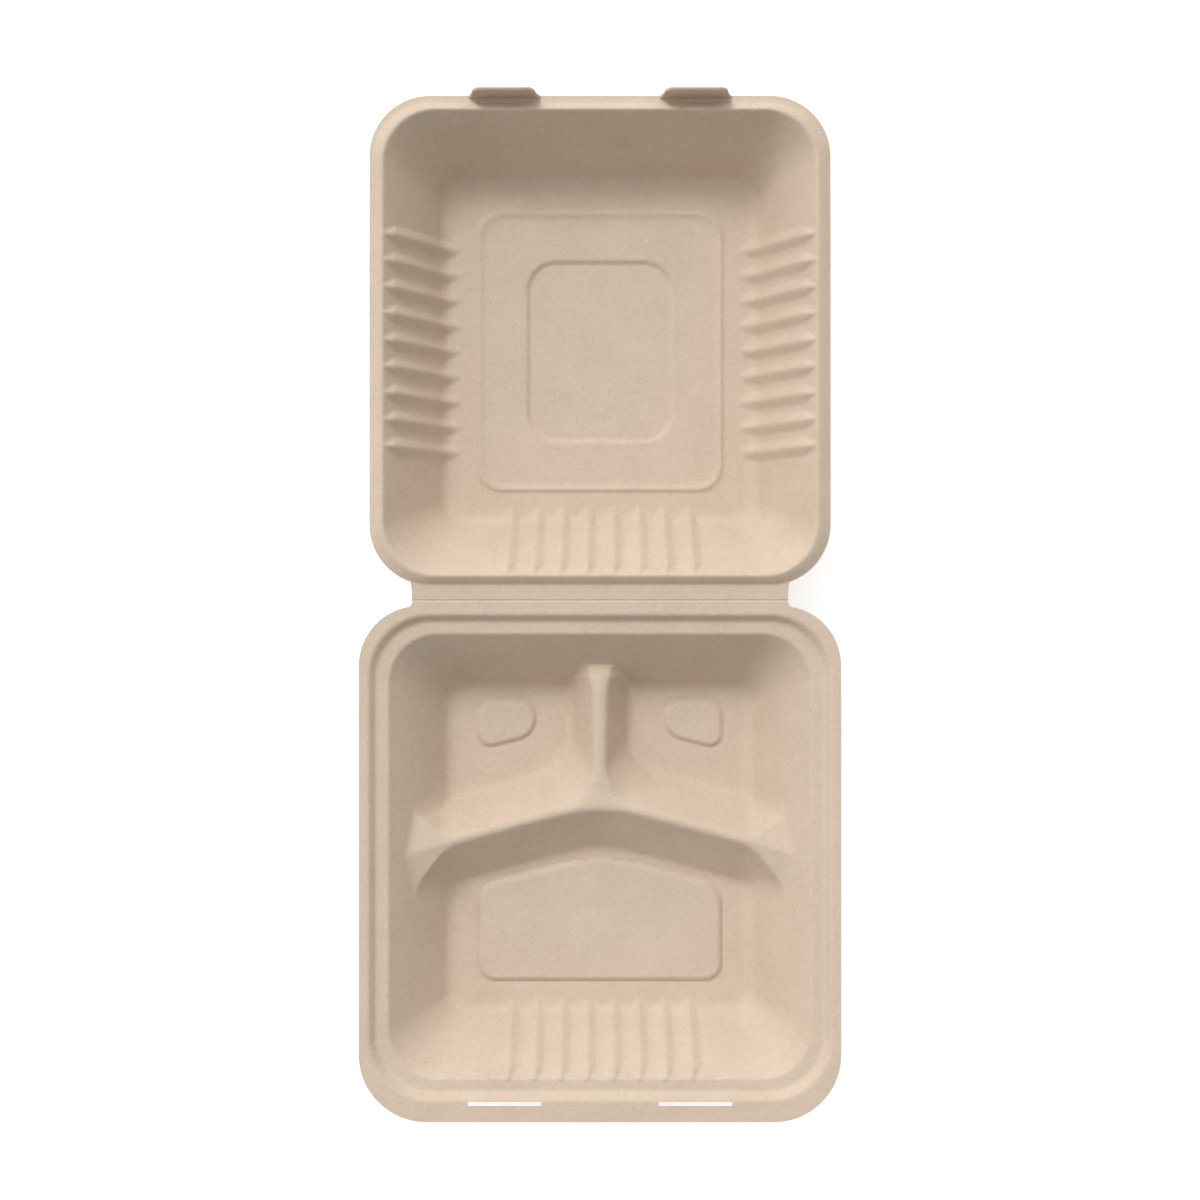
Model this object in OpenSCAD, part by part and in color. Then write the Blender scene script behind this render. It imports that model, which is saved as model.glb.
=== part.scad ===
// Hinged food container pressed from one sheet of moulded plant fibre.
// It lies open: the three-compartment base reaches to -Y and the lid to +Y.
// Both halves are drawn from the fold line outwards, and the base is mirrored.

/* [Sheet] */
// Thickness of the moulded sheet
sheet_t = 0.8; // [0.6:0.05:1.1]
// Height of the flange and of the fold above the table
flange_z = 38; // [34:0.5:46]
// How far the corner radii shrink for each millimetre that an outline moves in
corner_shrink = 0.53; // [0.4:0.01:0.6]
// Steps in each rounded corner, seen from above
corner_steps = 10; // [6:1:12]

/* [Base flange] */
// Distance that the base reaches past the lid's rim on each side
side_flange = 5.3; // [4:0.1:10]
// Distance that the base reaches past the lid's rim at the front, which holds the slots
front_flange = 10.9; // [8:0.1:16]
// Distance that the base reaches past the lid's rim towards the fold
back_flange = 4.9; // [3.4:0.1:5.5]
// Corner radius of the flange at the hinge side
base_back_r = 27.6; // [20:0.1:34]
// Corner radius of the flange at the front
base_front_r = 31; // [24:0.1:36]

/* [Rims that nest] */
// Width of the lid across the foot of its raised rim
rim_w = 211.4; // [200:0.2:225]
// Distance from the fold to the hinge side of the lid's rim
rim_back = 7.4; // [6.6:0.1:9]
// Distance from the fold to the front foot of the lid's rim
rim_front = 229.1; // [222:0.1:250]
// Corner radius of the lid's rim
rim_r = 27.6; // [22:0.1:32]
// Height of the lid's rim above the flange
rim_rise = 3.3; // [2:0.1:4]
// Width of the rim's outer slope along the sides
rim_side_run = 5.9; // [4.5:0.1:7]
// Width of the rim's outer slope along the hinge side
rim_back_run = 4.1; // [3.6:0.1:5]
// Width of the rim's outer slope along the front
rim_front_run = 3.8; // [3.6:0.1:5]
// Flat lip outside the rim on the sides and at the hinge
side_lip = 0.4; // [0.2:0.05:0.6]
// Flat lip outside the lid's front rim, which carries the tongues
front_lip = 3.1; // [2.9:0.1:4]
// Gap between the lid's rim and the step in the base when shut
rim_fit = 0.8; // [0.7:0.05:1.2]
// Height left between the shut lid and the base
shut_gap = 0.3; // [0.3:0.05:0.6]
// Play under the crest of the rim when shut
crest_play = 0.5; // [0.3:0.05:1]
// Width of the step down from the flange to the ledge
step_run = 3; // [2:0.1:3.6]
// Distance from the top of the step to the top of the wall
ledge_reach = 7.4; // [6.6:0.1:9]

/* [Walls] */
// Rounding where the walls start at their top edge
shoulder_r = 2.1; // [1.2:0.1:3]
// Width that the walls cover along the sides
wall_side_run = 30; // [26:0.5:34]
// Width that the walls cover at the hinge side
wall_back_run = 31; // [26:0.5:34]
// Width that the walls cover at the front
wall_front_run = 28; // [25:0.5:32]
// Rounding where the walls meet the floor
foot_r = 8; // [4:0.5:10]
// Steps in the rounding at the foot of the walls
foot_steps = 4; // [3:1:6]

/* [Ribs] */
// Distance from one rib to the next
rib_pitch = 12.18; // [9:0.02:13]
// Ribs on each side wall of the lid
side_ribs = 9; // [5:2:9]
// Ribs on the lid's hinge wall and on the base's front wall
end_ribs = 8; // [4:2:8]
// Width of a rib at its foot
rib_w = 6; // [4:0.2:7]
// Width of the flat along a rib's crest
rib_crest_w = 1.2; // [0.6:0.1:2]
// Height of a rib above the wall
rib_h = 1.5; // [1:0.1:2]
// Length of a rib's tip on the floor
rib_tip = 3; // [2:0.2:5]

/* [Dividers] */
// Distance from the fold to the point where the three dividers meet
fork_y = 96; // [90:0.5:98]
// Angle of the cross divider's arms
arm_angle = 13; // [8:0.5:16]
// Height of the cross divider above the floor
arm_h = 21; // [12:0.5:22]
// Height of the middle divider above the floor at the hinge wall
middle_h = 25; // [14:0.5:27]
// Rounding along the crest of a divider
crest_r = 3.5; // [2.5:0.1:4.5]
// Rounding along the foot of a divider
divider_foot_r = 6.5; // [3:0.5:7]
// Slope of the middle divider's flanks
middle_slope = 72; // [62:1:76]
// Slope of the cross divider's flank towards the hinge
arm_back_slope = 53; // [50:1:66]
// Slope of the cross divider's flank towards the front
arm_front_slope = 48; // [46:1:66]
// Steps in each rounding of a divider's section
divider_steps = 5; // [3:1:8]

/* [Floor panels] */
// Height of the raised pads and depth of the lid's sunk panel
pad_h = 0.7; // [0.4:0.05:0.9]
// Width of the bevel round a pad or panel
pad_bevel = 0.8; // [0.5:0.1:1.5]
// Corner radius of the pads
pad_r = 6; // [3:0.5:8]
// Width of each small pad
small_pad_w = 28; // [20:0.5:30]
// Distance between the centres of the small pads
small_pad_gap = 90; // [84:1:94]
// Distance from the fold to the small pads' hinge side
small_pad_y = 48.4; // [48:0.2:52]
// Length of the small pads along their middle
small_pad_len = 20; // [14:0.5:21]
// Width of the large pad
large_pad_w = 117; // [80:1:120]
// Distance from the fold to the large pad's peak
large_pad_y = 123; // [122:0.5:140]
// Distance from the fold to the large pad's front edge
large_pad_front = 183; // [170:0.5:185]
// Distance of the line pressed in the lid's floor from the foot of the side walls
line_side = 10.6; // [6:0.2:14]
// Distance of that line from the foot of the end walls
line_end = 9.8; // [6:0.2:14]
// Corner radius of that line
line_r = 12; // [8:0.5:16]
// Width of that line
line_w = 4.5; // [2:0.1:6]
// Depth of that line
line_depth = 0.5; // [0.2:0.05:0.6]
// Width of the sunk panel in the lid
panel_w = 69; // [50:1:80]
// Length of the sunk panel in the lid
panel_len = 86; // [60:1:100]
// Corner radius of the sunk panel
panel_r = 13.5; // [8:0.5:18]

/* [Hinge and lock] */
// Length of the hinge strip along the fold
hinge_w = 173; // [140:1:180]
// Rounding where the strip runs into each half
hinge_r = 4; // [2:0.5:6]
// Depth of the crease pressed along the fold
crease_depth = 0.3; // [0.1:0.05:0.4]
// Distance of the tongues and slots from the middle
lock_x = 44; // [36:1:50]
// Width of a tongue at its root
tongue_w = 31; // [20:0.5:36]
// Width of a tongue at its tip
tongue_tip_w = 28; // [16:0.5:32]
// Rounding at the tip of a tongue
tongue_r = 4; // [2:0.5:6]
// Height of a tongue above the lid's lip
tongue_h = 12; // [8:0.5:14]
// Outward lean of a tongue's tip
tongue_lean = 0.4; // [0:0.1:0.6]
// Flat left outside the tongue's root
tongue_margin = 0.4; // [0.2:0.05:0.6]
// Gap between a tongue and its slot
slot_fit = 0.3; // [0.3:0.05:0.5]

/* [Hidden] */
paper = [0.80, 0.72, 0.62];
min_r = 2;
deep = 4 * sheet_t;
eps = 0.01;
// How far a rib's two ends dip into the sheet
rib_dip = 0.2;

base_w = rim_w + 2 * side_flange;
base_front = rim_front + front_flange;
base_back = rim_back - back_flange;
floor_z = sheet_t;
lid_floor_z = sheet_t + pad_h;
crest_z = flange_z + rim_rise;
ledge_z = flange_z - (rim_rise - shut_gap + crest_play);
lid_edge_y = rim_front + front_lip;
tongue_y = lid_edge_y - tongue_margin - sheet_t;
slot_near = tongue_y - slot_fit;
slot_far = norm([tongue_y + sheet_t + tongue_lean, tongue_h]) + slot_fit;
fold_shift = (base_front - lid_edge_y) / 2;
strip_lap = side_lip * 0.3;

flange_outline = [base_w / 2, base_back, base_front, base_back_r, base_front_r];
rim_outline = [rim_w / 2, rim_back, rim_front, rim_r, rim_r];
lip_outline = [rim_w / 2 + side_lip, rim_back - side_lip, lid_edge_y, rim_r + side_lip, rim_r + side_lip];
well_outline = shrunk(rim_outline, -rim_fit);
wall_outline = shrunk(well_outline, ledge_reach);
crest_outline = rim_part(1);
lid_foot = run_in(crest_outline, 1);
line_outline = [lid_foot[0] - line_side, lid_foot[1] + line_end, lid_foot[2] - line_end, line_r, line_r];
lid_middle = (lid_foot[1] + lid_foot[2]) / 2;
panel_outline = [panel_w / 2, lid_middle - panel_len / 2, lid_middle + panel_len / 2, panel_r, panel_r];

// Share of the rim's slope and of its height, from its foot to its crest
rim_curve = [[0.1, 0.2], [0.3, 0.55], [0.55, 0.82], [0.8, 0.96]];
// Distance in from a wall's top edge and drop below it, along its rounded shoulder
shoulder = [for (p = [[0.17, 0.05], [0.5, 0.26], [1, 0.81]]) shoulder_r * p];

// An outline is [half width, hinge side, front, corner radius at the hinge, corner radius at the front].
function inset(o, side, back, front, r) =
    [o[0] - side, o[1] + back, o[2] - front, max(o[3] - r, min_r), max(o[4] - r, min_r)];
function shrunk(o, m) = inset(o, m, m, m, corner_shrink * m);
function rim_part(part) = inset(
    rim_outline, part * rim_side_run, part * rim_back_run, part * rim_front_run,
    part * rim_side_run * corner_shrink);
function run_in(o, part) = inset(
    o, part * wall_side_run, part * wall_back_run, part * wall_front_run,
    part * wall_side_run * corner_shrink);

// One rounded corner, and the closed ring of points of an outline at height z.
function corner(x, y, r, from) =
    [for (i = [0:corner_steps]) let (a = from + 90 * i / corner_steps) [x + r * cos(a), y + r * sin(a)]];
function ring(o, z) = [
    for (p = concat(
        corner(o[0] - o[4], o[2] - o[4], o[4], 0),
        corner(o[4] - o[0], o[2] - o[4], o[4], 90),
        corner(o[3] - o[0], o[1] + o[3], o[3], 180),
        corner(o[0] - o[3], o[1] + o[3], o[3], 270))) [p[0], p[1], z]];

// Slope between two slices, and the upright thickness of the sheet at slice i.
function steep(a, b) = (b[1] - a[1]) / (a[0][0] - b[0][0]);
function upright_t(s, i) =
    let (
        flat = i == 0 || i == len(s) - 1,
        slope = flat ? 0 : (steep(s[i - 1], s[i]) + steep(s[i], s[i + 1])) / 2
    ) sheet_t * norm([1, slope]);

// Two triangles for each place of the band between ring a and ring b.
function band(a, b, n) =
    [for (i = [0:n - 1]) let (j = (i + 1) % n) each [[a + i, b + j, b + i], [a + i, a + j, b + j]]];

// The straight wall's slope, and its profile as [share of the run, height] from top edge to floor.
function wall_slope(drop) =
    atan2(drop - foot_r, wall_side_run) + asin(foot_r / norm([drop - foot_r, wall_side_run]));
function wall_profile(top_z, bottom_z) =
    let (slope = wall_slope(top_z - bottom_z)) concat(
        [for (s = shoulder) [s[0] / wall_side_run, top_z - s[1]]],
        [for (i = [0:foot_steps]) let (a = slope * (1 - i / foot_steps))
            [1 - foot_r * sin(a) / wall_side_run, bottom_z + foot_r * (1 - cos(a))]]);
function wall_slices(top_outline, top_z, bottom_z) =
    [for (p = wall_profile(top_z, bottom_z)) [run_in(top_outline, p[0]), p[1]]];

// The sheet that follows a list of slices, each [outline, height], from its edge to its middle.
module formed_sheet(slices) {
    last = len(slices) - 1;
    upper = [for (s = slices) each ring(s[0], s[1])];
    lower = [for (i = [0:last]) each ring(slices[i][0], slices[i][1] - upright_t(slices, i))];
    half = len(upper);
    n = half / (last + 1);
    polyhedron(
        points = concat(upper, lower),
        faces = concat(
            [for (k = [0:last - 1]) each band((k + 1) * n, k * n, n)],
            [for (k = [0:last - 1]) each band(half + k * n, half + (k + 1) * n, n)],
            band(0, half, n),
            [[for (i = [n - 1:-1:0]) last * n + i]],
            [[for (i = [0:n - 1]) half + last * n + i]]
        ),
        convexity = 8
    );
}

// A closed solid through sections that have the same number of points.
module loft(sections) {
    n = len(sections[0]);
    last = len(sections) - 1;
    polyhedron(
        points = [for (s = sections) each s],
        faces = concat(
            [for (k = [0:last - 1]) each band((k + 1) * n, k * n, n)],
            [[for (i = [0:n - 1]) i]],
            [[for (i = [n - 1:-1:0]) last * n + i]]
        ),
        convexity = 8
    );
}

// Inside of a tray between its floor and the top of its wall, sunk to the middle of the sheet.
module tray_space(slices) {
    last = len(slices) - 1;
    loft([for (i = [last:-1:0]) ring(slices[i][0], slices[i][1] - sheet_t / 2)]);
}

// One section of a rib, square to a wall that slopes by a, at the point [inset, z] of its surface.
function rib_section(at, a, h, sink) =
    let (
        foot = [rib_w / 2 - sink / 2, -sink - sheet_t / 4],
        top = [rib_crest_w / 2, h - sink],
        bottom = sink > 0 ? -deep : -sheet_t * 0.75
    ) [for (p = [[-foot[0], bottom], [-foot[0], foot[1]], [-top[0], top[1]], top, foot, [foot[0], bottom]])
        [at[0] + sin(a) * p[1], p[0], at[1] + cos(a) * p[1]]];

// A rib down a wall that starts at x = 0 and runs towards +X. sink is 0 for its upper face.
module rib(top_z, bottom_z, run, sink) {
    slope = wall_slope(top_z - bottom_z);
    share = run / wall_side_run;
    start = shoulder[len(shoulder) - 1];
    sections = [
        rib_section([start[0] * share, top_z - start[1]], slope, -rib_dip, sink),
        rib_section([run - share * foot_r * sin(slope), bottom_z + foot_r * (1 - cos(slope))], slope, rib_h, sink),
        rib_section([run - share * foot_r * sin(slope / 2), bottom_z + foot_r * (1 - cos(slope / 2))],
            slope / 2, rib_h, sink),
        rib_section([run + rib_tip, bottom_z], 0, -rib_dip, sink)];
    for (i = [0:len(sections) - 2]) hull() loft([sections[i], sections[i + 1]]);
}

// Ribs side by side along Y, evenly about y = 0.
module rib_row(count, top_z, bottom_z, run, sink) {
    for (i = [0:count - 1])
        translate([0, (i - (count - 1) / 2) * rib_pitch, 0]) rib(top_z, bottom_z, run, sink);
}

// Half width of a divider on a flank that slopes by a, and that half of its section.
function flank_w(h, a) =
    (crest_r + divider_foot_r) * sin(a)
    + (h - crest_r * (1 - cos(a)) - divider_foot_r * (1 - cos(a))) / tan(a);
function flank(h, a, sink) = concat(
    [for (i = [0:divider_steps]) let (b = a * i / divider_steps)
        [flank_w(h, a) - (divider_foot_r + sink) * sin(b), divider_foot_r - (divider_foot_r + sink) * cos(b)]],
    [for (i = [0:divider_steps]) let (b = a * (1 - i / divider_steps))
        [(crest_r - sink) * sin(b), h - crest_r + (crest_r - sink) * cos(b)]]);

// A divider's whole section as [across, height above the floor], closed below the floor.
function divider_section(h, a, b, sink) =
    let (
        bottom = sink > 0 ? -deep : -sheet_t / 2,
        near = flank(h, a, sink),
        far = flank(h, b, sink)
    ) concat(
        [[-near[0][0], bottom]],
        [for (p = near) [-p[0], p[1]]],
        [for (i = [len(far) - 2:-1:0]) far[i]],
        [[far[0][0], bottom]]);

// The three dividers. sink is 0 for their upper face and the sheet's thickness for the hollow.
module dividers(sink) {
    reach = base_w / 2;
    for (side = [0, 1]) mirror([side, 0, 0])
        loft([for (x = [reach, 0])
            [for (p = divider_section(arm_h, arm_back_slope, arm_front_slope, sink))
                [x, fork_y + x * tan(arm_angle) + p[0] / cos(arm_angle), floor_z + p[1]]]]);
    loft([for (end = [[base_back, middle_h], [fork_y, arm_h]])
        [for (p = divider_section(end[1], middle_slope, middle_slope, sink)) [p[0], end[0], floor_z + p[1]]]]);
}

// A pad with a bevelled edge over the outline that its children draw.
module pad(sink) {
    hull() {
        translate([0, 0, sink > 0 ? -deep : floor_z - sheet_t / 2]) linear_extrude(eps) children();
        translate([0, 0, floor_z - sink]) linear_extrude(eps) children();
        translate([0, 0, floor_z + pad_h - sink - eps]) linear_extrude(eps) offset(delta = -pad_bevel) children();
    }
}

module small_pad_shape() {
    slant = small_pad_w / 2 * tan(arm_angle);
    offset(r = pad_r) offset(delta = -pad_r)
        translate([small_pad_gap / 2, small_pad_y])
            polygon([
                [-small_pad_w / 2, 0], [small_pad_w / 2, 0],
                [small_pad_w / 2, small_pad_len + slant], [-small_pad_w / 2, small_pad_len - slant]]);
}

module large_pad_shape() {
    half = large_pad_w / 2;
    shoulder_y = large_pad_y + half * tan(arm_angle);
    offset(r = pad_r) offset(delta = -pad_r)
        polygon([[0, large_pad_y], [half, shoulder_y], [half, large_pad_front],
            [-half, large_pad_front], [-half, shoulder_y]]);
}

module pads(sink) {
    for (side = [0, 1]) mirror([side, 0, 0]) pad(sink) small_pad_shape();
    pad(sink) large_pad_shape();
}

module outline_shape(outline) {
    polygon([for (p = ring(outline, 0)) [p[0], p[1]]]);
}

// The flat strip between the fold and one half, with rounded inner corners. It ends in the half's edge.
module hinge_strip(outline) {
    translate([0, 0, flange_z - sheet_t])
        linear_extrude(sheet_t)
            difference() {
                intersection() {
                    offset(r = -hinge_r) offset(delta = hinge_r) {
                        translate([-hinge_w / 2, 0]) square([hinge_w, outline[1] + outline[3]]);
                        outline_shape(shrunk(outline, strip_lap));
                    }
                    translate([-hinge_w / 2 - hinge_r, 0])
                        square([hinge_w + 2 * hinge_r, outline[1] + outline[3] / 2]);
                }
                outline_shape(shrunk(outline, 2 * strip_lap));
            }
}

// Half of the crease along the fold, as a cut.
module crease() {
    rotate([90, 0, 90])
        linear_extrude(hinge_w + 2 * hinge_r, center = true)
            polygon([[-1, flange_z - crease_depth], [0, flange_z - crease_depth],
                [2 * crease_depth, flange_z], [2 * crease_depth, flange_z + 1], [-1, flange_z + 1]]);
}

module slots() {
    for (side = [-1, 1])
        translate([side * lock_x, (slot_near + slot_far) / 2, flange_z])
            cube([tongue_w + 10 * slot_fit, slot_far - slot_near, 6 * sheet_t], center = true);
}

module tongue() {
    translate([0, tongue_y + sheet_t, flange_z - sheet_t / 2])
        rotate([90 - atan(tongue_lean / tongue_h), 0, 0])
            linear_extrude(sheet_t)
                hull() {
                    translate([-tongue_w / 2, 0]) square([tongue_w, sheet_t]);
                    for (side = [-1, 1])
                        translate([side * (tongue_tip_w / 2 - tongue_r), tongue_h + sheet_t / 2 - tongue_r])
                            circle(r = tongue_r, $fn = 32);
                }
}

module base_form() {
    walls = wall_slices(wall_outline, ledge_z, floor_z);
    slices = concat(
        [
            [flange_outline, flange_z],
            [shrunk(well_outline, -step_run * 0.1), flange_z],
            [shrunk(well_outline, step_run * 0.15), flange_z - (flange_z - ledge_z) * 0.12],
            [shrunk(well_outline, step_run * 0.85), ledge_z + (flange_z - ledge_z) * 0.12],
            [shrunk(well_outline, step_run * 1.1), ledge_z],
            [wall_outline, ledge_z]
        ],
        walls);
    difference() {
        union() {
            formed_sheet(slices);
            hinge_strip(flange_outline);
            intersection() {
                dividers(0);
                tray_space(walls);
            }
            translate([0, wall_outline[2], 0])
                rotate([0, 0, -90]) rib_row(end_ribs, ledge_z, floor_z, wall_front_run, 0);
            pads(0);
        }
        dividers(sheet_t);
        translate([0, wall_outline[2], 0])
            rotate([0, 0, -90]) rib_row(end_ribs, ledge_z, floor_z, wall_front_run, sheet_t);
        pads(sheet_t);
        slots();
        crease();
    }
}

module lid_ribs(sink) {
    for (side = [0, 1])
        mirror([side, 0, 0])
            translate([-crest_outline[0], lid_middle, 0])
                rib_row(side_ribs, crest_z, lid_floor_z, wall_side_run, sink);
    translate([0, crest_outline[1], 0])
        rotate([0, 0, 90]) rib_row(end_ribs, crest_z, lid_floor_z, wall_back_run, sink);
}

module lid_form() {
    slices = concat(
        [[lip_outline, flange_z], [rim_outline, flange_z]],
        [for (c = rim_curve) [rim_part(c[0]), flange_z + rim_rise * c[1]]],
        [[crest_outline, crest_z]],
        wall_slices(crest_outline, crest_z, lid_floor_z),
        [
            [line_outline, lid_floor_z],
            [shrunk(line_outline, line_w * 0.25), lid_floor_z - line_depth],
            [shrunk(line_outline, line_w * 0.5), lid_floor_z - line_depth * 0.6],
            [shrunk(line_outline, line_w), lid_floor_z],
            [shrunk(panel_outline, -pad_bevel), lid_floor_z],
            [shrunk(panel_outline, pad_bevel), lid_floor_z - pad_h]
        ]);
    difference() {
        union() {
            formed_sheet(slices);
            hinge_strip(lip_outline);
            for (side = [-1, 1]) translate([side * lock_x, 0, 0]) tongue();
            lid_ribs(0);
        }
        lid_ribs(sheet_t);
        crease();
    }
}

module base_tray() {
    color(paper) translate([0, fold_shift, 0]) mirror([0, 1, 0]) base_form();
}

module lid() {
    color(paper) translate([0, fold_shift, 0]) lid_form();
}

base_tray();
lid();
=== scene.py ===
import math

import bpy
import numpy as np
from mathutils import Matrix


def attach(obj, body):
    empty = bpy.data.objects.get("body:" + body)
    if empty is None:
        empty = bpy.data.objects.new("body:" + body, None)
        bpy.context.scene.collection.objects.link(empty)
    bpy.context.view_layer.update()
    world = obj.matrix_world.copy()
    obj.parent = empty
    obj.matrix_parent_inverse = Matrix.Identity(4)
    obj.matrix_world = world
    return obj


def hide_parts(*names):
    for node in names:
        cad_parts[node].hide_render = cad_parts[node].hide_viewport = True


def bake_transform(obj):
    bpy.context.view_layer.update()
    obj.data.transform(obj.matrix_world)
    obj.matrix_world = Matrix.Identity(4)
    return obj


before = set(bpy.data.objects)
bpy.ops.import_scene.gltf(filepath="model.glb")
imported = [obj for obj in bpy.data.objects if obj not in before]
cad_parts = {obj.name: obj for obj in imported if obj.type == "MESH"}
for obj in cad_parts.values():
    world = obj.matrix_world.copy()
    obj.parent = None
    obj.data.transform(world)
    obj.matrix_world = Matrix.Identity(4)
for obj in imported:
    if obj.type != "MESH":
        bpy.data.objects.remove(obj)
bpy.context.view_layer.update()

# Sizes are in millimetres, as in the CAD, and become metres where a mesh is made.
# d is the distance from the fold, towards the front of either half.
MM = 0.001
SHEET = 0.8
FLANGE_Z = 38.0
FOLD_SHIFT = 3.9
CORNER_SHRINK = 0.53

RIB_PITCH = 12.18
RIB_HALF = 4.0
RIB_H = 2.0
RIB_TIP = 3.0
RIB_START_RUN = 5.0
RIB_END_RUN = 6.0
RIB_CREST_R = 0.6
RIB_BLEND = 0.35
FRONT_RIBS = 8
SIDE_RIBS = 9
HINGE_RIBS = 8
LINE_STEP = RIB_PITCH / 13

FORK_D = 92.9
ARM_ANGLE = math.radians(16)
ARM_H = 21.0
MIDDLE_D = [26, 30, 36, 42, 90]
MIDDLE_H = [13.5, 15.5, 21.5, 22.5, 21]
MIDDLE_SPREAD = [2.5, 3.0, 2.0, 0.8, 0.0]
MIDDLE_STOP = 8.0
CREST_R = 3.5
DIVIDER_FOOT_R = 6.5
MIDDLE_SLOPE = math.radians(63)
ARM_BACK_SLOPE = math.radians(53)
ARM_FRONT_SLOPE = math.radians(45)
FORK_BLEND = 16.0
WALL_BLEND = 3.0
ARM_CHAMFER = 16.0
ARM_FOOT_CHAMFER = 3.0
ARM_CHAMFER_GROWTH = 1.5
ARM_END_BLEND = 4.0
ARM_BEND = 12.0

PAD_ANGLE = math.radians(14)
PAD_H = 1.7
PAD_BEVEL = 0.9
PAD_GROOVE = 0.4
PAD_GROOVE_OUT = 0.9
PAD_GROOVE_W = 0.7
PAD_R = 8.0
SMALL_PAD_X = (31, 59)
SMALL_PAD_D = (48.4, 68.4)
LARGE_PAD_HALF_W = 58.5
LARGE_PAD_D = (123, 183)

HINGE_HALF_W = 86.5
HINGE_R = 4.0
CREASE_REACH = 1.2
CREASE_DEPTH = 0.3
CREASE_HALF_W = 0.4
CREASE_GRID = (121, 25)

LOCK_X = 44.0
SLOT_HALF_W = 17.0
SLOT_NEAR = 230.7
SLOT_FAR = 232.8
TONGUE_D = 231.0
TONGUE_ROOT_W = 30.5
TONGUE_TIP_W = 27.0
TONGUE_FLARE = 1.3
TONGUE_FLARE_H = 1.8
TONGUE_SINK = 0.5
TONGUE_EDGE_W = 2.2
TONGUE_EDGE_THICK = 0.6
TONGUE_CROWN = 0.4
TONGUE_GRID = (61, 27)
TONGUE_R = 4.0
TONGUE_H = 12.0
TONGUE_LEAN = 0.4

# Outlines are [half width, hinge side, front, corner radius at the hinge, corner radius at the front].
FLANGE = np.array([111.0, 2.5, 240.0, 27.6, 31.0])
RIM = np.array([105.7, 7.4, 229.1, 27.6, 27.6])
LIP = np.array([106.1, 7.0, 232.2, 28.0, 28.0])
SMALLEST_R = 2.0
INNER_R = 1.0
RIM_IN = (5.9, 4.1, 3.8)
WELL_PLAY = 0.8
LEDGE_W = 7.4
SIDE_RUN = 30.0
BACK_RUN = 31.0
FRONT_RUN = 28.0
FOOT_R = 8.0
WALL_BULGE = 1.2
LEDGE_Z = 34.5
CREST_Z = 41.3
FLOOR_Z = 0.8
LID_FLOOR_Z = 2.4
SHOULDER = [(0.3, 0.1), (0.8, 0.55), (1.5, 1.4)]
RIM_CURVE = [(0.1, 0.15), (0.4, 0.5), (0.7, 0.82), (0.88, 0.96)]
STEP_CURVE = [(-3.0, 0), (-0.3, 0), (0.45, 0.12), (2.55, 0.88), (3.3, 1)]
LINE_SIDE = 10.6
LINE_END = 9.8
LINE_W = 3.8
LINE_RISE = 1.1
LINE_CREST = (0.22, 0.32)
LINE_R = 12.0
PANEL_HALF_W = 34.5
PANEL_HALF_LEN = 43.0
PANEL_R = 13.5
PANEL_DEPTH = 1.6
PANEL_BEVEL = 1.1
INNER_HALF_W = 58 * LINE_STEP
INNER_GAP = 14.0
LID_INNER_HALF_W = 48 * LINE_STEP
LID_INNER_HALF_D = 56 * LINE_STEP
SHARP_ANGLE = math.radians(55)

# Rounding along the rings' slices, and the rings' spacing as (how far in, spacing).
BASE_SOFTNESS = 0.35
BASE_SPACINGS = [(13.5, 0.75), (60.0, 1.15), (200, 1.2)]
LID_SOFTNESS = 0.3
LID_SPACINGS = [(8.5, 0.65), (60.0, 1.25), (64.0, 0.65), (200, 1.05)]

# Colours of the fibre, from its clouds to its rare dark specks.
CLOUD_DARK = (0.585, 0.470, 0.362)
CLOUD_LIGHT = (0.635, 0.515, 0.400)
FLECK = (0.70, 0.585, 0.465)
GRAIN = (0.47, 0.365, 0.27)
FIBRE = (0.76, 0.66, 0.54)
SPECK = (0.20, 0.14, 0.09)
FIBRE_STRETCH = (1, 7, 1)
FIBRE_TURNS = (0.6, -0.9)

# The studio dome with the share of it that leans to one side, the sun, the floor's glow and the camera.
DOME = 0.74
DOME_LEAN = 0.8
DOME_TOWARDS = (-0.36, 0.88, 0)
KEY = 1.4
KEY_SPREAD = math.radians(16)
KEY_AZIMUTH = math.radians(116)
KEY_ELEVATION = math.radians(45)
FLOOR_GLOW = 0.55
FLOOR_HALF = 6.0
CAMERA_HEIGHT = 759.0
CAMERA_HALF_VIEW = 276.0
CAMERA_SHIFT = 0.23


def inset(o, side, back, front, r):
    radii = [max(o[3] - r, SMALLEST_R), max(o[4] - r, SMALLEST_R)]
    return np.array([o[0] - side, o[1] + back, o[2] - front, *radii])


def shrunk(o, m):
    return inset(o, m, m, m, CORNER_SHRINK * m)


def run_in(o, part):
    return inset(o, part * SIDE_RUN, part * BACK_RUN, part * FRONT_RUN, part * SIDE_RUN * CORNER_SHRINK)


def rim_in(part):
    """The lid's rim moved part of the way in to its crest."""
    side, back, front = RIM_IN
    return inset(RIM, part * side, part * back, part * front, part * side * CORNER_SHRINK)


WELL = shrunk(RIM, -WELL_PLAY)
WALL = shrunk(WELL, LEDGE_W)
CREST = rim_in(1)
LID_FOOT = run_in(CREST, 1)
LID_MIDDLE = (LID_FOOT[1] + LID_FOOT[2]) / 2


# ---- Walls and rings ----

def wall_slope(drop):
    return math.atan2(drop - FOOT_R, SIDE_RUN) + math.asin(FOOT_R / math.hypot(drop - FOOT_R, SIDE_RUN))


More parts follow.
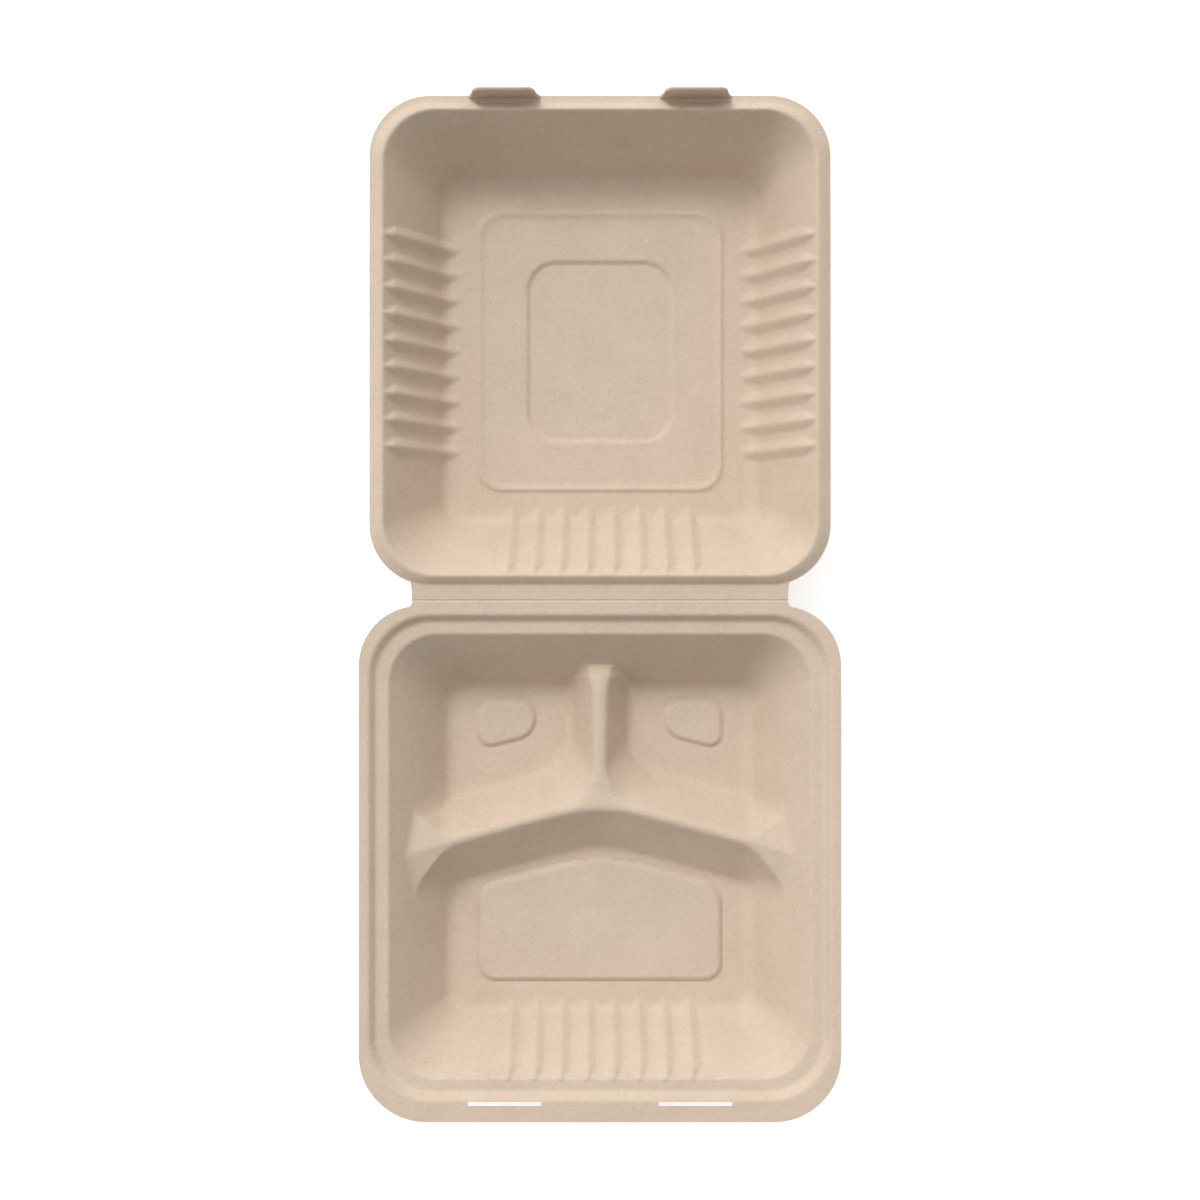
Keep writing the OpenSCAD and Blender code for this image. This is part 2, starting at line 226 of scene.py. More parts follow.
def wall_profile(top_z, bottom_z, steps=8):
    """The wall from its top edge to the floor, as (share of the run, height)."""
    slope = wall_slope(top_z - bottom_z)
    points = [(s / SIDE_RUN, top_z - drop) for s, drop in SHOULDER]
    start = points[-1]
    end = (1 - FOOT_R * math.sin(slope) / SIDE_RUN, bottom_z + FOOT_R * (1 - math.cos(slope)))
    for t in (1 / 6, 1 / 3, 1 / 2, 2 / 3, 5 / 6):
        points.append((start[0] + (end[0] - start[0]) * t,
                       start[1] + (end[1] - start[1]) * t + WALL_BULGE * 4 * t * (1 - t)))
    for i in range(steps + 1):
        a = slope * (1 - i / steps)
        points.append((1 - FOOT_R * math.sin(a) / SIDE_RUN, bottom_z + FOOT_R * (1 - math.cos(a))))
    return points


def wall_slices(top_outline, top_z, bottom_z):
    return [np.append(run_in(top_outline, part), z) for part, z in wall_profile(top_z, bottom_z)]


def soft_rings(slices, softness, spacings):
    """Rings along the slices, their corners rounded off, spaced as [(how far in, spacing), ...]."""
    slices, step = np.array(slices), 0.1
    travel = np.hypot(np.diff(slices[:, 0]), np.diff(slices[:, 5]))
    at = np.concatenate([[0], np.cumsum(travel)])
    fine = np.linspace(0, at[-1], int(at[-1] / step) + 1)
    table = np.stack([np.interp(fine, at, slices[:, c]) for c in range(6)], axis=1)
    reach = int(3 * softness / step)
    kernel = np.exp(-0.5 * (np.arange(-reach, reach + 1) * step / softness) ** 2)
    kernel /= kernel.sum()
    first, last = table[0], table[-1]
    padded = np.concatenate([2 * first - table[reach:0:-1], table, 2 * last - table[-2:-reach - 2:-1]])
    soft = np.stack([np.convolve(padded[:, c], kernel, mode="valid") for c in range(6)], axis=1)
    places, s = [0.0], 0.0
    for limit, spacing in spacings:
        limit = min(limit, at[-1])
        count = max(1, round((limit - s) / spacing))
        places += list(np.linspace(s, limit, count + 1)[1:])
        s = limit
    return np.stack([np.interp(places, fine, soft[:, c]) for c in range(6)], axis=1)


def corner_leg(reach, r, n):
    """Points from a straight edge to the middle of its rounded corner.

    Gives what is left to the corner along the edge, and how far in from the edge.
    """
    r = min(r, reach)
    straight = reach - r
    s = np.linspace(0, straight + r * math.pi / 4, n + 1)
    turn = np.clip((s - straight) / max(r, 1e-9), 0, None)
    along = np.where(s < straight, s, straight + r * np.sin(turn))
    return reach - along, r * (1 - np.cos(turn))


def ring_grid(rings, xs, ds):
    """A square grid whose outer rows and columns are bent into rings round the half.

    xs and ds are the straight inner lines. Gives x, d and z of each grid point.
    """
    k_last = len(rings) - 1
    nx, nd = len(xs) + 2 * k_last, len(ds) + 2 * k_last
    x, d, z = np.zeros((nx, nd)), np.zeros((nx, nd)), np.zeros((nx, nd))
    inner_x, inner_d = slice(k_last, nx - k_last), slice(k_last, nd - k_last)
    x[inner_x, inner_d] = xs[:, None]
    d[inner_x, inner_d] = ds[None, :]
    z[inner_x, inner_d] = rings[-1][5]
    for k, (w, back, front, r_back, r_front, height) in enumerate(rings):
        n = k_last - k
        for row, edge, inward, r, first in (
                (k, back, 1, r_back, ds[0]), (nd - 1 - k, front, -1, r_front, ds[-1])):
            x[inner_x, row], d[inner_x, row], z[inner_x, row] = xs, edge, height
            left, into = corner_leg(w - xs[-1], r, n)
            side_left, side_into = corner_leg(abs(first - edge), r, n)
            corner_rows = (np.arange(k_last, k - 1, -1) if inward > 0
                           else np.arange(nd - 1 - k_last, nd - k))
            for side in (1, -1):
                cols = (np.arange(nx - 1 - k_last, nx - k) if side > 0
                        else np.arange(k_last, k - 1, -1))
                x[cols, row] = side * (w - left)
                d[cols, row] = edge + inward * into
                z[cols, row] = height
                col = nx - 1 - k if side > 0 else k
                x[col, corner_rows] = side * (w - side_into)
                d[col, corner_rows] = edge + inward * side_left
                z[col, corner_rows] = height
        for col, side in ((nx - 1 - k, 1), (k, -1)):
            x[col, inner_d], d[col, inner_d], z[col, inner_d] = side * w, ds, height
    return x, d, z


# ---- Forms on the sheet ----

def soft_max(a, b, k):
    near = np.clip(k - np.abs(a - b), 0, None)
    return np.maximum(a, b) + near * near / (4 * k)


def ramp(s, half):
    t = np.clip(0.5 + s / (2 * half), 0, 1)
    return t * t * (3 - 2 * t)


def round_union(a, b, r):
    corner = np.hypot(np.clip(r - a, 0, None), np.clip(r - b, 0, None))
    return np.maximum(r, np.minimum(a, b)) - corner


def inside_box(x, d, w, back, front, r_back, r_front):
    """How far (x, d) lies inside a rounded outline, negative outside it."""
    middle, half = (back + front) / 2, (front - back) / 2
    r = np.where(d < middle, r_back, r_front)
    qx, qd = np.abs(x) - w + r, np.abs(d - middle) - half + r
    return r - np.hypot(np.clip(qx, 0, None), np.clip(qd, 0, None)) - np.minimum(np.maximum(qx, qd), 0)


def inside_polygon(x, d, corners, r):
    """How far (x, d) lies inside a convex polygon with rounded corners, negative outside it."""
    corners = np.array(corners, float)
    centre = corners.mean(axis=0)
    sides = np.roll(corners, -1, axis=0) - corners
    normals = np.stack([sides[:, 1], -sides[:, 0]], axis=1) / np.linalg.norm(sides, axis=1)[:, None]
    offsets = np.einsum("ij,ij->i", normals, corners)
    flip = np.sign(offsets - normals @ centre)
    depth = np.stack([f * (o - n[0] * x - n[1] * d) for n, o, f in zip(normals, offsets, flip)])
    shortfall = np.clip(r - depth, 0, None)
    return np.where(depth.min(axis=0) > r, depth.min(axis=0), r - np.sqrt((shortfall ** 2).sum(axis=0)))


def divider_half_width(level, h, a):
    """Half width of a divider of height h, whose flank slopes by a, at a height above the floor.

    Above the crest it is negative.
    """
    foot_top, crest_start = DIVIDER_FOOT_R * (1 - math.cos(a)), h - CREST_R * (1 - math.cos(a))
    widest = (CREST_R + DIVIDER_FOOT_R) * math.sin(a) + (crest_start - foot_top) / math.tan(a)
    foot = widest - np.sqrt(np.clip(DIVIDER_FOOT_R ** 2 - (DIVIDER_FOOT_R - level) ** 2, 0, None))
    flank = widest - DIVIDER_FOOT_R * math.sin(a) - (level - foot_top) / math.tan(a)
    crest = np.sqrt(np.clip(CREST_R ** 2 - (level - h + CREST_R) ** 2, 0, None))
    width = np.where(level < foot_top, foot, np.where(level < crest_start, flank, crest))
    return np.where(level > h, -4 * (level - h), width)


def wall_gap(x, d, level):
    """Distance from (x, d) to the base's wall at a height above the floor."""
    profile = wall_profile(LEDGE_Z, FLOOR_Z)[::-1]
    part = np.interp(level, [z - FLOOR_Z for _, z in profile], [p for p, _ in profile])
    return inside_box(
        x, d, WALL[0] - part * SIDE_RUN, WALL[1] + part * BACK_RUN, WALL[2] - part * FRONT_RUN,
        WALL[3] - part * SIDE_RUN * CORNER_SHRINK, WALL[4] - part * SIDE_RUN * CORNER_SHRINK)


def divider_gaps(x, d, level):
    """Distances from (x, d) to the middle divider and to the arms at a height above the floor."""
    middle = (np.hypot(x, np.clip(d - FORK_D + MIDDLE_STOP, 0, None))
              - np.interp(d, MIDDLE_D, MIDDLE_SPREAD)
              - divider_half_width(level, np.interp(d, MIDDLE_D, MIDDLE_H), MIDDLE_SLOPE))
    bend = np.sqrt(x * x + ARM_BEND ** 2)
    across = (d - FORK_D - bend * math.tan(ARM_ANGLE)) * math.cos(ARM_ANGLE)
    arm = np.where(
        across < 0,
        -across - divider_half_width(level, ARM_H, ARM_BACK_SLOPE),
        across - divider_half_width(level, ARM_H, ARM_FRONT_SLOPE))
    return middle, arm


def fork_gap(x, d, level):
    """Distance from (x, d) to the fork of dividers and the walls at a height above the floor."""
    middle, arm = divider_gaps(x, d, level)
    wall = wall_gap(x, d, level)
    growth = np.clip(level / ARM_H, 0, 1) ** ARM_CHAMFER_GROWTH
    chamfer = ARM_FOOT_CHAMFER + (ARM_CHAMFER - ARM_FOOT_CHAMFER) * growth
    fork = np.minimum(round_union(middle, arm, FORK_BLEND), round_union(middle, wall, WALL_BLEND))
    arm_end = -soft_max(-wall, -(arm + wall - chamfer) * math.sqrt(0.5), ARM_END_BLEND)
    return -soft_max(-fork, -arm_end, ARM_END_BLEND)


def top_level(gap, shape, highest, halvings=16):
    """Greatest height above the floor at which gap(height) is still within the solid."""
    low, high = np.zeros(shape), np.full(shape, highest)
    for _ in range(halvings):
        level = (low + high) / 2
        solid = gap(level) < 0
        low, high = np.where(solid, level, low), np.where(solid, high, level)
    return low


def divider_rise(x, d):
    """How far the dividers and their blends into the walls raise the sheet."""
    highest = LEDGE_Z - FLOOR_Z
    walls = top_level(lambda level: wall_gap(x, d, level), x.shape, highest)
    everything = top_level(lambda level: fork_gap(x, d, level), x.shape, highest)
    return everything - walls


def ribbed(z, down, across, count, drop, run):
    """The sheet at height z with ribs down a wall: down is the distance in from the wall's top edge."""
    steep = 1 / math.cos(wall_slope(drop))
    start, foot, tip = SHOULDER[0][0], run - RIB_END_RUN, run + RIB_TIP
    rise = np.interp(down, [start, start + RIB_START_RUN, foot, tip], [0, RIB_H * steep, RIB_H * steep, 0])
    number = np.clip(np.round(across / RIB_PITCH + (count - 1) / 2), 0, count - 1) - (count - 1) / 2
    side = np.abs(across - number * RIB_PITCH)
    rounded = np.sqrt(side ** 2 + RIB_CREST_R ** 2) - RIB_CREST_R
    flank = rounded * np.interp(down, [foot, run], [steep, 1]) * RIB_H / RIB_HALF
    here = (down > start) & (down < tip) & (side < RIB_PITCH / 2)
    return np.where(here, z + soft_max(0, rise - flank, RIB_BLEND), z)


def pads(x, d):
    """Height of the raised pads on the base's floor, with the groove round each."""
    near_x, far_x = SMALL_PAD_X
    back, middle = SMALL_PAD_D
    slant = (far_x - near_x) / 2 * math.tan(PAD_ANGLE)
    small = [(near_x, back), (far_x, back), (far_x, middle + slant), (near_x, middle - slant)]
    half = LARGE_PAD_HALF_W
    peak, front = LARGE_PAD_D
    shoulder = peak + half * math.tan(PAD_ANGLE)
    large = [(0, peak), (half, shoulder), (half, front), (-half, front), (-half, shoulder)]
    inside = np.maximum(inside_polygon(np.abs(x), d, small, PAD_R), inside_polygon(x, d, large, PAD_R))
    groove = PAD_GROOVE * np.exp(-((inside + PAD_GROOVE_OUT) / PAD_GROOVE_W) ** 2)
    return PAD_H * ramp(inside - PAD_BEVEL / 2, PAD_BEVEL) - groove


# ---- Meshes ----

def grid_faces(number, keep=None):
    """Small faces of a grid of point numbers, and blocks of two by two of them.

    Each block has its corners and the points half way along its sides. keep says which faces stay.
    """
    small = np.stack([number[:-1, :-1], number[1:, :-1], number[1:, 1:], number[:-1, 1:]], axis=-1)
    block = np.stack([
        number[:-2:2, :-2:2], number[2::2, :-2:2], number[2::2, 2::2], number[:-2:2, 2::2],
        number[1::2, :-2:2], number[2::2, 1::2], number[1::2, 2::2], number[:-2:2, 1::2]], axis=-1)
    if keep is None:
        return small.reshape(-1, 4), block.reshape(-1, 8)
    return small[keep], block[keep[::2, ::2]]


def vertex_normals(points, faces):
    a, b, c, e = (points[faces[:, i]] for i in range(4))
    cross = np.cross(c - a, e - b)
    normals = np.zeros_like(points)
    for i in range(4):
        np.add.at(normals, faces[:, i], cross)
    return normals / np.maximum(np.linalg.norm(normals, axis=1), 1e-9)[:, None]


def open_sides(blocks):
    """Sides that one block uses, as (start, half way, end) in that block's direction."""
    sides = np.concatenate([blocks[:, [i, 4 + i, (i + 1) % 4]] for i in range(4)])
    low, high = sides[:, [0, 2]].min(axis=1), sides[:, [0, 2]].max(axis=1)
    _, first, count = np.unique(low * (sides.max() + 1) + high, return_index=True, return_counts=True)
    return sides[first[count == 1]]


def thickened(points, small, blocks):
    """A closed sheet: the small faces on top, and the blocks' corners for its underside."""
    normals = vertex_normals(points, small)
    if normals[:, 2].mean() < 0:
        small, normals = small[:, ::-1], -normals
        blocks = blocks[:, [3, 2, 1, 0, 6, 5, 4, 7]]
    corners = np.unique(blocks[:, :4])
    under = points[corners] - normals[corners] * SHEET
    under[:, 2] = np.maximum(under[:, 2], 0)
    lower = np.zeros(len(points), dtype=np.int64)
    lower[corners] = np.arange(len(points), len(points) + len(corners))
    start, half_way, end = open_sides(blocks).T
    edges = np.stack([end, half_way, start, lower[start], lower[end]], axis=1)
    return np.concatenate([points, under]), [small, lower[blocks[:, 3::-1]], edges]


def make_piece(name, points, faces, material):
    """A smooth-shaded mesh from points in millimetres and arrays of faces.

    Each array holds the faces with one number of corners. Points that no face uses are left out.
    """
    mesh = bpy.data.meshes.new(name)
    used, corners = np.unique(np.concatenate([f.ravel() for f in faces]), return_inverse=True)
    mesh.vertices.add(len(used))
    mesh.vertices.foreach_set("co", (points[used] * MM).astype(np.float32).ravel())
    sizes = np.concatenate([np.full(len(f), f.shape[1]) for f in faces])
    mesh.loops.add(len(corners))
    mesh.loops.foreach_set("vertex_index", corners.astype(np.int32))
    mesh.polygons.add(len(sizes))
    starts = np.concatenate([[0], np.cumsum(sizes)[:-1]])
    mesh.polygons.foreach_set("loop_start", starts.astype(np.int32))
    mesh.update(calc_edges=True)
    mesh.validate()
    mesh.polygons.foreach_set("use_smooth", np.ones(len(mesh.polygons), dtype=bool))
    mesh.set_sharp_from_angle(angle=SHARP_ANGLE)
    mesh.materials.append(material)
    obj = bpy.data.objects.new(name, mesh)
    bpy.context.scene.collection.objects.link(obj)
    return obj


def placed(x, d, z, side):
    """Points in the part's frame. side is 1 for the lid and -1 for the base."""
    return np.stack([x.ravel(), FOLD_SHIFT + side * d.ravel(), z.ravel()], axis=1)


def with_strip(points, number, x, d, rows, side):
    """Adds the strip between the outline's hinge side and the crease.

    Gives the points and the strip's grid.
    """
    edge = [i for i in range(x.shape[0]) if abs(x[i, 0]) <= HINGE_HALF_W + HINGE_R / 2]
    edge = edge[edge[0] % 2:]
    edge = edge[:len(edge) - 1 + len(edge) % 2]
    edge_x, edge_d = x[edge, 0], d[edge, 0]
    widest = np.abs(edge_x).max()
    lines = [number[edge, 0]]
    for row in range(1, rows + 1):
        part = row / rows
        strip_d = edge_d + (CREASE_REACH - edge_d) * part
        narrow = (1 - (1 - part) ** 2) * (1 - HINGE_HALF_W / widest)
        lines.append(np.arange(len(points), len(points) + len(edge)))
        points = np.concatenate([
            points, placed(edge_x * (1 - narrow), strip_d, np.full(len(edge), FLANGE_Z), side)])
    return points, np.stack(lines[::-1], axis=1)


def sheet_mesh(x, d, z, side, strip_rows, keep=None):
    """The closed sheet of one half with its part of the strip."""
    number = np.arange(x.size).reshape(x.shape)
    points, strip = with_strip(placed(x, d, z, side), number, x, d, strip_rows, side)
    small, blocks = (np.concatenate(pair) for pair in zip(grid_faces(number, keep), grid_faces(strip)))
    return thickened(points, small, blocks)


def inner_lines(half):
    """Lines from -half to half that meet the ribs' centres."""
    count = round(half / LINE_STEP)
    return np.arange(-count, count + 1) * LINE_STEP


def cut_slots(x, d):
    """Moves the grid's lines to the edges of the two slots, and says which faces stay."""
    middle = d[x.shape[0] // 2]
    rows = range(0, d.shape[1], 2)
    far = min(rows, key=lambda j: abs(middle[j] - SLOT_FAR))
    near = min((j for j in rows if j != far), key=lambda j: abs(middle[j] - SLOT_NEAR))
    edges = LOCK_X - SLOT_HALF_W, LOCK_X + SLOT_HALF_W
    keep = np.ones((x.shape[0] - 1, x.shape[1] - 1), dtype=bool)
    for side in (-1, 1):
        ends = [min(range(0, x.shape[0], 2), key=lambda i: abs(side * x[i, near] - edge)) for edge in edges]
        left, right = sorted(ends)
        for row in range(near, far + 1):
            d[left:right + 1, row] = SLOT_NEAR + (SLOT_FAR - SLOT_NEAR) * (row - near) / (far - near)
            x[ends, row] = side * np.array(edges)
        keep[left:right, near:far] = False
    return keep


def base_piece(material):
    drop = FLANGE_Z - LEDGE_Z
    floor = run_in(WALL, 1)
    inner_back, inner_front = floor[1] + INNER_GAP, floor[2] - INNER_GAP
    slices = [
        np.append(FLANGE, FLANGE_Z),
        *[np.append(shrunk(WELL, into), FLANGE_Z - drop * share) for into, share in STEP_CURVE],
        np.append(WALL, LEDGE_Z),
        *wall_slices(WALL, LEDGE_Z, FLOOR_Z),
        np.array([INNER_HALF_W, inner_back, inner_front, INNER_R, INNER_R, FLOOR_Z])]
    rings = soft_rings(slices, BASE_SOFTNESS, BASE_SPACINGS)
    ds = np.linspace(inner_back, inner_front, 2 * round((inner_front - inner_back) / LINE_STEP / 2) + 1)
    x, d, z = ring_grid(rings, inner_lines(INNER_HALF_W), ds)
    z = ribbed(z, WALL[2] - d, x, FRONT_RIBS, LEDGE_Z - FLOOR_Z, FRONT_RUN)
    z = z + divider_rise(x, d) + pads(x, d)
    keep = cut_slots(x, d)
    points, faces = sheet_mesh(x, d, z, -1, 2, keep)
    piece = make_piece("base_sheet", points, faces, material)
    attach(piece, "base")
    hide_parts("base_tray")
    return piece


def tongue(side):
    """A locking tongue with a thick rounded edge, which stands on the lid's front lip."""
    tip = TONGUE_H - TONGUE_CROWN
    columns, rows = TONGUE_GRID
    u, v = np.meshgrid(np.linspace(-1, 1, columns), np.linspace(-TONGUE_SINK, tip, rows), indexing="ij")
    up = np.clip(v, 0, None)
    into_corner = np.clip(TONGUE_R - TONGUE_H + v, 0, None)
    corner = TONGUE_R - np.sqrt(np.clip(TONGUE_R ** 2 - into_corner ** 2, 0, None))
    half = TONGUE_ROOT_W / 2 + (TONGUE_TIP_W - TONGUE_ROOT_W) / 2 * up / TONGUE_H - corner
    flare = TONGUE_FLARE * np.exp(-up / TONGUE_FLARE_H)
    near_side, near_tip = 1 - half * (1 - np.abs(u)) / TONGUE_EDGE_W, 1 - (tip - v) / TONGUE_EDGE_W
    near_edge = np.clip(np.maximum(near_side, near_tip), 0, 1).ravel()
    x = side * LOCK_X + u * (half + flare)
    y = FOLD_SHIFT + TONGUE_D + TONGUE_LEAN * v / TONGUE_H
    inner = np.stack([x.ravel(), y.ravel(), FLANGE_Z + v.ravel()], axis=1)
    zero = np.zeros(x.size)
    outer = inner + np.stack([zero, SHEET + TONGUE_EDGE_THICK * near_edge ** 2, zero], axis=1)
    out = np.stack([np.where(np.abs(u) > 0.999, np.sign(u), 0).ravel(), zero,
                    np.where(v > v.max() - 0.01, 1.0, 0).ravel()], axis=1)
    crown = (inner + outer) / 2 + TONGUE_CROWN * out
    number = np.arange(x.size).reshape(x.shape)
    small, _ = grid_faces(number)
    loop = np.concatenate([number[:, 0], number[-1, 1:], number[-2::-1, -1], number[0, -2:0:-1]])
    after, n = np.roll(loop, -1), x.size
    sides = [np.stack([after + low, loop + low, loop + high, after + high], axis=1)
             for low, high in ((0, n), (n, 2 * n))]
    return np.concatenate([inner, crown, outer]), [np.concatenate([small, small[:, ::-1] + 2 * n, *sides])]


def joined(*parts):
    points, faces, total = [], [], 0
    for part_points, part_faces in parts:
        points.append(part_points)
        faces += [f + total for f in part_faces]
        total += len(part_points)
    return np.concatenate(points), faces


def lid_piece(material):
    line = np.array([
        LID_FOOT[0] - LINE_SIDE, LID_FOOT[1] + LINE_END, LID_FOOT[2] - LINE_END, LINE_R, LINE_R])
    ds = LID_MIDDLE + inner_lines(LID_INNER_HALF_D)
    reach = ds[-1] - LID_MIDDLE
    slices = [
        np.append(LIP, FLANGE_Z),
        np.append(RIM, FLANGE_Z),
        *[np.append(rim_in(part), FLANGE_Z + (CREST_Z - FLANGE_Z) * share) for part, share in RIM_CURVE],
        np.append(CREST, CREST_Z),
        *wall_slices(CREST, CREST_Z, LID_FLOOR_Z),
        np.append(line, LID_FLOOR_Z),
        *[np.append(shrunk(line, LINE_W * part), LID_FLOOR_Z + LINE_RISE) for part in LINE_CREST],
        np.append(shrunk(line, LINE_W), LID_FLOOR_Z),
        np.array([LID_INNER_HALF_W, LID_MIDDLE - reach, LID_MIDDLE + reach, INNER_R, INNER_R, LID_FLOOR_Z])]
    rings = soft_rings(slices, LID_SOFTNESS, LID_SPACINGS)
    x, d, z = ring_grid(rings, inner_lines(LID_INNER_HALF_W), ds)
    z = ribbed(z, CREST[0] - np.abs(x), d - LID_MIDDLE, SIDE_RIBS, CREST_Z - LID_FLOOR_Z, SIDE_RUN)
    z = ribbed(z, d - CREST[1], x, HINGE_RIBS, CREST_Z - LID_FLOOR_Z, BACK_RUN)
    back, front = LID_MIDDLE - PANEL_HALF_LEN, LID_MIDDLE + PANEL_HALF_LEN
    panel = inside_box(x, d, PANEL_HALF_W, back, front, PANEL_R, PANEL_R)
    z = z - PANEL_DEPTH * ramp(panel, PANEL_BEVEL)
    points, faces = joined(sheet_mesh(x, d, z, 1, 6), tongue(-1), tongue(1))
    piece = make_piece("lid_sheet", points, faces, material)
    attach(piece, "lid")
    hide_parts("lid")
    return piece


def crease_piece(material):
    """The strip along the fold, pressed thin."""
    columns, rows = CREASE_GRID
    across = np.linspace(-CREASE_REACH, CREASE_REACH, rows)
    along = np.linspace(-HINGE_HALF_W, HINGE_HALF_W, columns)
    x, y = np.meshgrid(along, across, indexing="ij")
    z = FLANGE_Z - CREASE_DEPTH * np.exp(-(y / CREASE_HALF_W) ** 2)
    points = np.stack([x.ravel(), y.ravel() + FOLD_SHIFT, z.ravel()], axis=1)
    sheet = thickened(points, *grid_faces(np.arange(x.size).reshape(x.shape)))
    piece = make_piece("hinge_crease", *sheet, material)
    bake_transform(piece)
    return piece


# ---- Material ----

def fibre_material():
    material = bpy.data.materials.new("moulded_fibre")
    material.use_nodes = True
    nodes, links = material.node_tree.nodes, material.node_tree.links
    shader = nodes["Principled BSDF"]
    shader.inputs["Roughness"].default_value = 0.85
    shader.inputs["Specular IOR Level"].default_value = 0.25
    place = nodes.new("ShaderNodeTexCoord").outputs["Object"]

    def noise(scale, detail, roughness=0.6, stretch=None, distortion=0.0):
        node = nodes.new("ShaderNodeTexNoise")
        node.inputs["Scale"].default_value = scale
        node.inputs["Detail"].default_value = detail
        node.inputs["Roughness"].default_value = roughness
        node.inputs["Distortion"].default_value = distortion
        source = place
        if stretch:
            mapping = nodes.new("ShaderNodeMapping")
            mapping.inputs["Rotation"].default_value = stretch[0]
            mapping.inputs["Scale"].default_value = stretch[1]
            links.new(place, mapping.inputs["Vector"])
            source = mapping.outputs["Vector"]
        links.new(source, node.inputs["Vector"])
        return node.outputs["Fac"]

    def math_node(kind, a, b, c=None):
        node = nodes.new("ShaderNodeMath")
        node.operation = kind
        for socket, value in zip(node.inputs, (a, b, c)):
            if value is None:
                continue
            if isinstance(value, (int, float)):
                socket.default_value = value
            else:
                links.new(value, socket)
        return node.outputs[0]

    def remap(value, low, high, to_low=0.0, to_high=1.0):
        node = nodes.new("ShaderNodeMapRange")
        links.new(value, node.inputs["Value"])
        for key, number in zip(("From Min", "From Max", "To Min", "To Max"), (low, high, to_low, to_high)):
            node.inputs[key].default_value = number
        return node.outputs["Result"]

    def mix(fac, a, b):
        node = nodes.new("ShaderNodeMix")
        node.data_type = "RGBA"
        links.new(fac, node.inputs["Factor"])
        for socket, colour in ((node.inputs["A"], a), (node.inputs["B"], b)):
            if isinstance(colour, tuple):
                socket.default_value = (*colour, 1)
            else:
                links.new(colour, socket)
        return node.outputs["Result"]

    clouds = remap(noise(45, 3), 0.35, 0.65)
    flecks = remap(noise(420, 4, 0.7, distortion=0.4), 0.3, 0.7)
    grain = remap(noise(1500, 2), 0.3, 0.7)
    fibres = [remap(noise(300, 2, 0.5, ((0, 0, turn), FIBRE_STRETCH), 0.8), 0.60, 0.72) for turn in FIBRE_TURNS]
    colour = mix(clouds, CLOUD_DARK, CLOUD_LIGHT)
    colour = mix(math_node("MULTIPLY", flecks, 0.6), colour, FLECK)
    colour = mix(math_node("MULTIPLY", grain, 0.38), colour, GRAIN)
    colour = mix(math_node("MULTIPLY", math_node("MAXIMUM", *fibres), 0.22), colour, FIBRE)
    specks = nodes.new("ShaderNodeTexVoronoi")
    specks.inputs["Scale"].default_value = 260
    links.new(place, specks.inputs["Vector"])
    dot = remap(specks.outputs["Distance"], 0.05, 0.11, 1, 0)
    rare = remap(noise(150, 0), 0.66, 0.68)
    colour = mix(math_node("MULTIPLY", math_node("MULTIPLY", dot, rare), 0.6), colour, SPECK)
    links.new(colour, shader.inputs["Base Color"])

    height = math_node("MULTIPLY_ADD", noise(900, 3, 0.65), 0.6, noise(260, 2))
    bump = nodes.new("ShaderNodeBump")
    bump.inputs["Strength"].default_value = 0.35
    bump.inputs["Distance"].default_value = 0.0006
    links.new(height, bump.inputs["Height"])
    links.new(bump.outputs["Normal"], shader.inputs["Normal"])
    return material


# ---- Scene ----

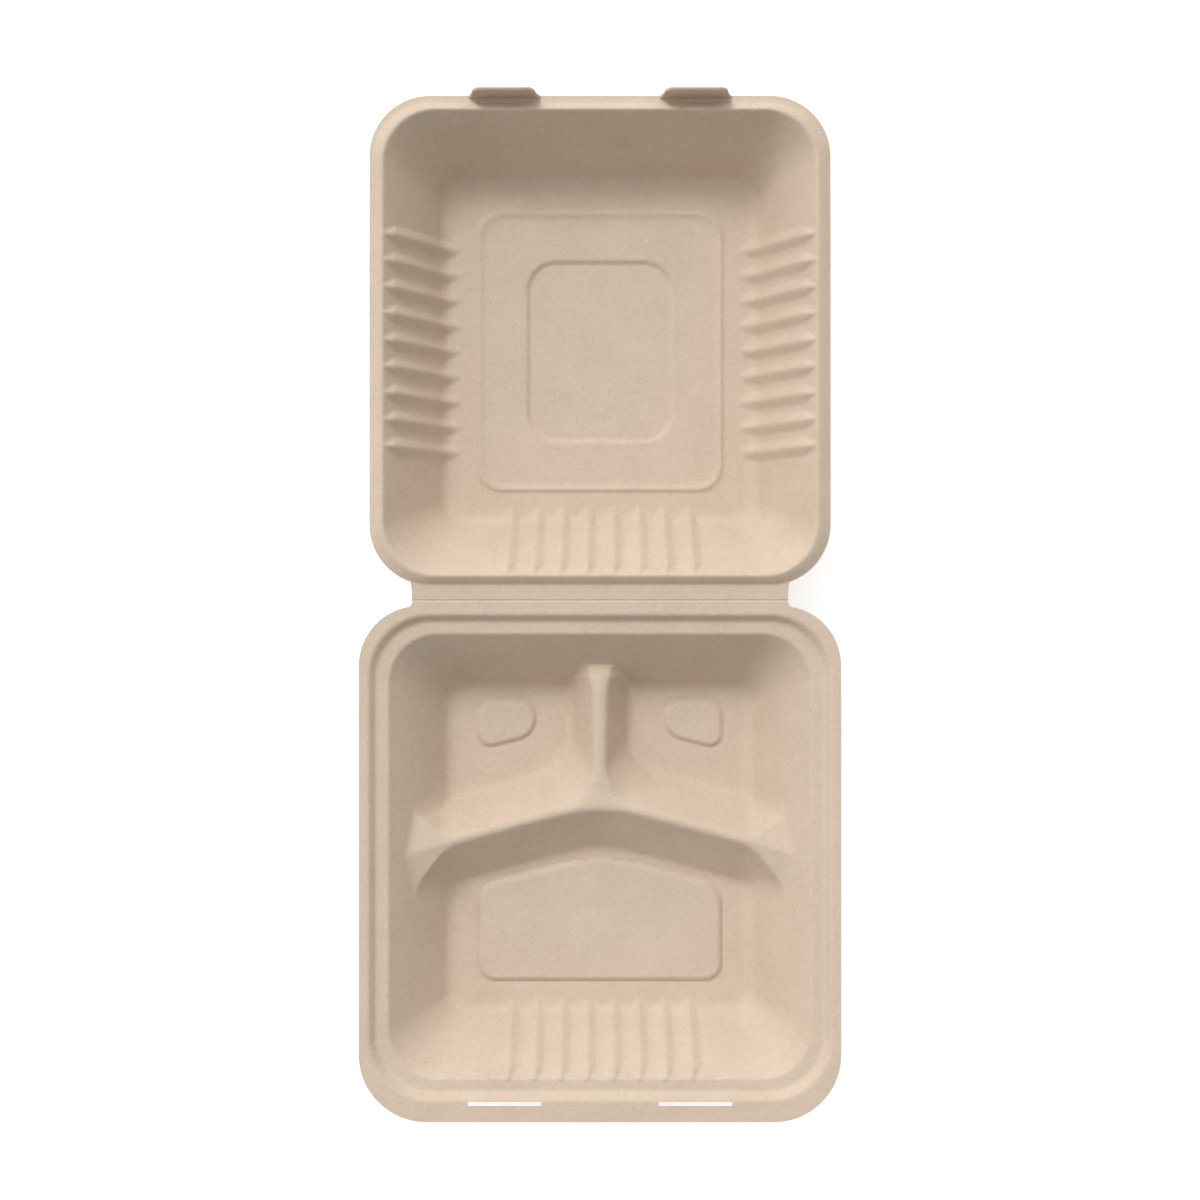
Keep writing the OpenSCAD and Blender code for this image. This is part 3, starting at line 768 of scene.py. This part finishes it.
def add_floor():
    mesh = bpy.data.meshes.new("floor")
    corners = [(-1, -1), (1, -1), (1, 1), (-1, 1)]
    mesh.from_pydata([(a * FLOOR_HALF, b * FLOOR_HALF, 0) for a, b in corners], [], [(0, 1, 2, 3)])
    obj = bpy.data.objects.new("floor", mesh)
    bpy.context.scene.collection.objects.link(obj)
    material = bpy.data.materials.new("floor")
    material.use_nodes = True
    shader = material.node_tree.nodes["Principled BSDF"]
    shader.inputs["Base Color"].default_value = (0.92, 0.92, 0.92, 1)
    shader.inputs["Roughness"].default_value = 0.9
    shader.inputs["Specular IOR Level"].default_value = 0.1
    shader.inputs["Emission Color"].default_value = (1, 1, 1, 1)
    seen = material.node_tree.nodes.new("ShaderNodeLightPath").outputs["Is Camera Ray"]
    glow = material.node_tree.nodes.new("ShaderNodeMath")
    glow.operation = "MULTIPLY"
    glow.inputs[1].default_value = FLOOR_GLOW
    material.node_tree.links.new(seen, glow.inputs[0])
    material.node_tree.links.new(glow.outputs[0], shader.inputs["Emission Strength"])
    mesh.materials.append(material)


def add_light():
    """A soft studio dome, brighter towards the lid's front and a little to the left, and a broad sun."""
    world = bpy.data.worlds.new("studio")
    bpy.context.scene.world = world
    world.use_nodes = True
    nodes, links = world.node_tree.nodes, world.node_tree.links
    direction = nodes.new("ShaderNodeTexCoord").outputs["Generated"]
    towards = nodes.new("ShaderNodeVectorMath")
    towards.operation = "DOT_PRODUCT"
    towards.inputs[1].default_value = DOME_TOWARDS
    links.new(direction, towards.inputs[0])
    strength = nodes.new("ShaderNodeMath")
    strength.operation = "MULTIPLY_ADD"
    strength.inputs[1].default_value = DOME * DOME_LEAN
    strength.inputs[2].default_value = DOME
    links.new(towards.outputs["Value"], strength.inputs[0])
    nodes["Background"].inputs["Color"].default_value = (1, 1, 1, 1)
    links.new(strength.outputs[0], nodes["Background"].inputs["Strength"])
    sun = bpy.data.lights.new("key", "SUN")
    sun.energy = KEY
    sun.angle = KEY_SPREAD
    key = bpy.data.objects.new("key", sun)
    key.rotation_euler = (math.pi / 2 - KEY_ELEVATION, 0, KEY_AZIMUTH + math.pi / 2)
    bpy.context.scene.collection.objects.link(key)


def add_camera():
    camera = bpy.data.cameras.new("camera")
    camera.sensor_width = 36
    camera.lens = camera.sensor_width / 2 * CAMERA_HEIGHT / CAMERA_HALF_VIEW
    obj = bpy.data.objects.new("camera", camera)
    obj.location = (0, (FOLD_SHIFT + CAMERA_SHIFT) * MM, (FLANGE_Z + CAMERA_HEIGHT) * MM)
    bpy.context.scene.collection.objects.link(obj)
    bpy.context.scene.camera = obj
    bpy.context.scene.view_settings.view_transform = "Standard"


fibre = fibre_material()
base_piece(fibre)
lid_piece(fibre)
crease_piece(fibre)
add_floor()
add_light()
add_camera()
